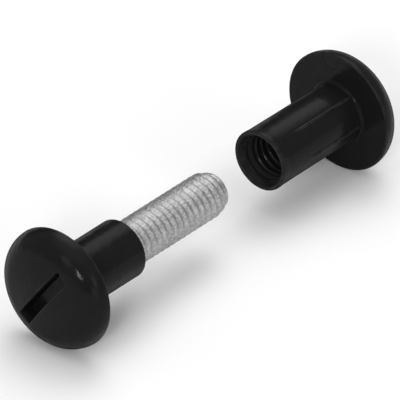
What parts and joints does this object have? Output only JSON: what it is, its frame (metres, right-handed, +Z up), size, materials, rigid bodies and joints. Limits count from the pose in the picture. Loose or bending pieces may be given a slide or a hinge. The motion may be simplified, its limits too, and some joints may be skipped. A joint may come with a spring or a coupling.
{
  "type": "furniture connector bolt",
  "caption": "Two-part connector bolt for joining cabinet sides: a slotted domed screw half with a steel stud and a domed sleeve nut half, both in black plastic, shown apart on one axis.",
  "frame": {"origin": "middle of the screw head's flat bearing face, on the bolt's axis", "axes": "+X along the bolt from the screw head to the nut, +Z up, with both round rims resting at the same lowest height"},
  "size_m": [0.0592, 0.016, 0.016],
  "materials": {
    "black_plastic": "satin moulded black",
    "zinc_steel": "bright zinc plate"
  },
  "bodies": {
    "screw": {"screw_head": "black_plastic", "threaded_stud": "zinc_steel"},
    "nut": {"sleeve_nut": "black_plastic"}
  },
  "joints": [
    {"name": "screw_home", "type": "slide", "parent": "screw", "child": "nut", "axis": [-1, 0, 0], "range_m": [0, 0.0254]}
  ]
}
